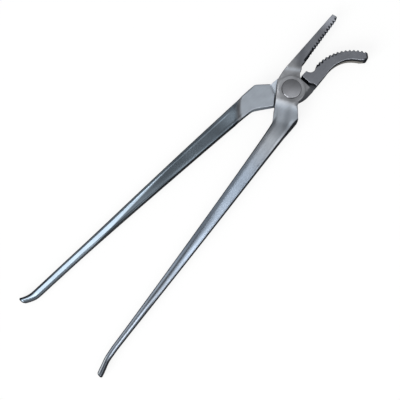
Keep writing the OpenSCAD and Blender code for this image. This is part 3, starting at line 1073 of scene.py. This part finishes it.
def rivet_material():
    """Turned steel: rings round the axis, painted light that makes it lighter towards the curved
    arm's side, and painted shade round the rim of its head.
    """
    material, tree = nodes_of("turned_rivet_steel")
    place = scaled(tree, add(tree, "ShaderNodeTexCoord").outputs["Object"], 1000)
    x, y, _ = split(tree, place)
    radius = maths(tree, "SQRT", total(tree, times(tree, x, x), times(tree, y, y)))
    rings = add(tree, "ShaderNodeCombineXYZ", {"X": radius})
    turned = noise(tree, rings.outputs[0], 3.0, (1, 1, 1), 4.0, 0.6)
    mottle = noise(tree, place, 0.9, (1, 1, 1), 4.0, 0.6)
    shade = total(tree, swing(tree, turned, 0.06), swing(tree, mottle, 0.08), 1.0)
    # Painted light, lighter towards the curved arm's side
    shade = times(tree, shade, ranged(tree, y, 1, -7, 1.02, 1.62))
    # Painted shade round the rim of the head
    rim = ranged(tree, radius, 7.95, 8.2, smooth=True)
    colour = mixed(tree, rim, scaled(tree, DOME, shade), DOME_RIM)
    polished = ranged(tree, radius, 7.2, 7.8, 0.0, -0.38)
    steel(tree, colour, total(tree, swing(tree, mottle, 0.04, 0.62), polished), turned, 0.25)
    return material


# Lines of painted highlight, where the gain is above nothing, and of painted shade, where it is below, along
# the reins: place across, half width, where they start and end, gain
CURVED_LINES = [
    (0.5, 0.13, (44, 58), (150, 180), 1.3),
    (-0.79, 0.06, (40, 50), (150, 190), 0.5),
    (-0.76, 0.14, (125, 160), (276, 278), 1.0),
    (-0.15, 0.4, (262, 272), (290, 300), 1.2),
    (-0.6, 0.16, (40, 46), (60, 75), -0.35),
]
STRAIGHT_LINES = [
    (-0.82, 0.08, (26, 45), (270, 276), 0.5),
    (0.68, 0.22, (16, 22), (36, 60), 0.6),
    (-0.62, 0.45, (135, 185), (276, 278), 1.5),
    (-0.1, 0.6, (100, 140), (195, 220), -0.62),
    (-0.15, 0.4, (195, 220), (290, 300), -0.2),
    (-0.5, 0.45, (258, 266), (290, 300), 0.9),
]
# Borders of painted shade on the reins: where they start and are full across, their slant, where they start
# and end along, gain
CURVED_BORDERS = [
    (-0.81, -0.86, 0, (44, 52), (130, 200), -0.9),
    (0.87, 0.92, 0, (18, 24), (100, 200), -0.45),
    (0.16, -0.12, 0.0145, (84, 130), (290, 300), -0.78),
    (0.25, 0.5, 0, (238, 255), (290, 300), -0.6),
    (0.05, 0.35, 0, (262, 272), (290, 300), -0.6),
]
STRAIGHT_BORDERS = [
    (0.77, 0.84, 0, (13, 16), (150, 200), -0.93),
    (-0.2, 0.2, 0, (150, 185), (190, 225), -0.3),
    (0.3, 0.5, 0, (190, 215), (290, 300), -0.8),
    (-0.25, 0.05, 0, (258, 266), (290, 300), -0.72),
]
curved_steel = arm_material("curved_arm_steel", CURVED_LINES, CURVED_BORDERS, SLATE, 0.16)
straight_steel = arm_material("straight_arm_steel", STRAIGHT_LINES, STRAIGHT_BORDERS, BLUED, 0.06)
curved_arm.data.materials.append(curved_steel)
straight_arm.data.materials.append(straight_steel)
rivet.data.materials.append(rivet_material())

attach(curved_arm, "curved_arm")
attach(rivet, "curved_arm")
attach(straight_arm, "straight_arm")
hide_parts("curved_jaw_arm")
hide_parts("pivot_rivet")
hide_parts("straight_jaw_arm")

# The photograph's camera, as it was fitted to the picture
PHOTO_PX, PIVOT_PX, FOCAL_PX = 400, (291.5, 88.8), 1006.13
FIT_SCALE, DISTANCE, SENSOR_W = 1.0147, 820.0, 36
TILT, TURN = math.radians(8.4), math.radians(47)


def photo_camera():
    """The photograph's camera. It was fitted with the pivot's top at PIVOT_PX, in units that
    FIT_SCALE brings to the real size, and turned from the tool's length by TURN."""
    eye = np.array([0, -DISTANCE * math.sin(TILT), DISTANCE * math.cos(TILT)])
    ahead = -eye / np.linalg.norm(eye)
    right = np.array([1.0, 0, 0])
    upward = np.cross(right, ahead)
    ray = ahead * FOCAL_PX + right * (PIVOT_PX[0] - PHOTO_PX / 2) - upward * (PIVOT_PX[1] - PHOTO_PX / 2)
    pivot = eye + ray * (JOINT_T - eye[2]) / ray[2]
    c, s = math.cos(TURN), math.sin(TURN)
    spin = np.array([[c, s, 0], [-s, c, 0], [0, 0, 1]])
    place = spin @ (eye - np.array([pivot[0], pivot[1], 0])) * FIT_SCALE / 1000
    axes = np.column_stack([spin @ right, spin @ upward, spin @ -ahead])
    data = bpy.data.cameras.new("photo_camera")
    data.sensor_width = SENSOR_W
    data.lens = FOCAL_PX / PHOTO_PX * SENSOR_W
    data.clip_start = 0.01
    data.clip_end = 20
    camera = placed("photo_camera", data)
    camera.matrix_world = Matrix([list(axes[i]) + [place[i]] for i in range(3)] + [[0, 0, 0, 1]])
    return camera


scene.camera = photo_camera()


# Floor and light: the floor's colour and glowing share, and how far off the soft panels stand
FLOOR_COLOUR = (0.92, 0.92, 0.92, 1)
FLOOR_GLOW, PANEL_FAR = 0.84, 6.0


def floor():
    """A pale floor that the camera and reflections see near white, with the tool's shadow kept."""
    mesh = bpy.data.meshes.new("floor")
    half, z = 6.0, -0.0002
    corners = [(-half, -half, z), (half, -half, z), (half, half, z), (-half, half, z)]
    mesh.from_pydata(corners, [], [(0, 1, 2, 3)])
    material, tree = nodes_of("pale_floor")
    path = add(tree, "ShaderNodeLightPath").outputs
    seen = maths(tree, "MAXIMUM", path["Is Camera Ray"], path["Is Glossy Ray"])
    seen = maths(tree, "MAXIMUM", seen, path["Is Transmission Ray"])
    matt = add(tree, "ShaderNodeBsdfDiffuse", {"Color": FLOOR_COLOUR}).outputs[0]
    glow = add(tree, "ShaderNodeEmission").outputs[0]
    mix = add(tree, "ShaderNodeMixShader", {0: times(tree, seen, FLOOR_GLOW), 1: matt, 2: glow})
    add(tree, "ShaderNodeOutputMaterial", {"Surface": mix.outputs[0]})
    mesh.materials.append(material)
    obj = placed("floor", mesh)


def softbox(name, along, aside, half_along, half_aside, level):
    """A far soft panel over the floor, placed and sized in degrees from straight
    up: along the tool towards its jaws, and aside towards the straight jaw."""
    at = Vector((math.tan(math.radians(along)), math.tan(math.radians(aside)), 1)).normalized()
    data = bpy.data.lights.new(name, "AREA")
    data.shape = "RECTANGLE"
    data.size = 2 * PANEL_FAR * math.tan(math.radians(half_along))
    data.size_y = 2 * PANEL_FAR * math.tan(math.radians(half_aside))
    data.energy = level * math.pi * data.size * data.size_y
    obj = placed(name, data)
    x = (Vector((1, 0, 0)) - at * at.x).normalized()
    y = at.cross(x)
    basis = Matrix([x, y, at]).transposed().to_4x4()
    obj.matrix_world = Matrix.Translation(at * PANEL_FAR) @ basis


floor()
softbox("overhead_strip", -6, 0, 8, 26, 3.3)
softbox("right_panel", 8, -46, 14, 12, 1.6)
softbox("tail_panel", -60, 0, 14, 18, 7.5)

world = bpy.data.worlds.new("studio")
scene.world = world
world.use_nodes = True
background = world.node_tree.nodes["Background"]
background.inputs["Color"].default_value = (1, 1, 1, 1)
background.inputs["Strength"].default_value = 0.45

scene.view_settings.view_transform = "Standard"
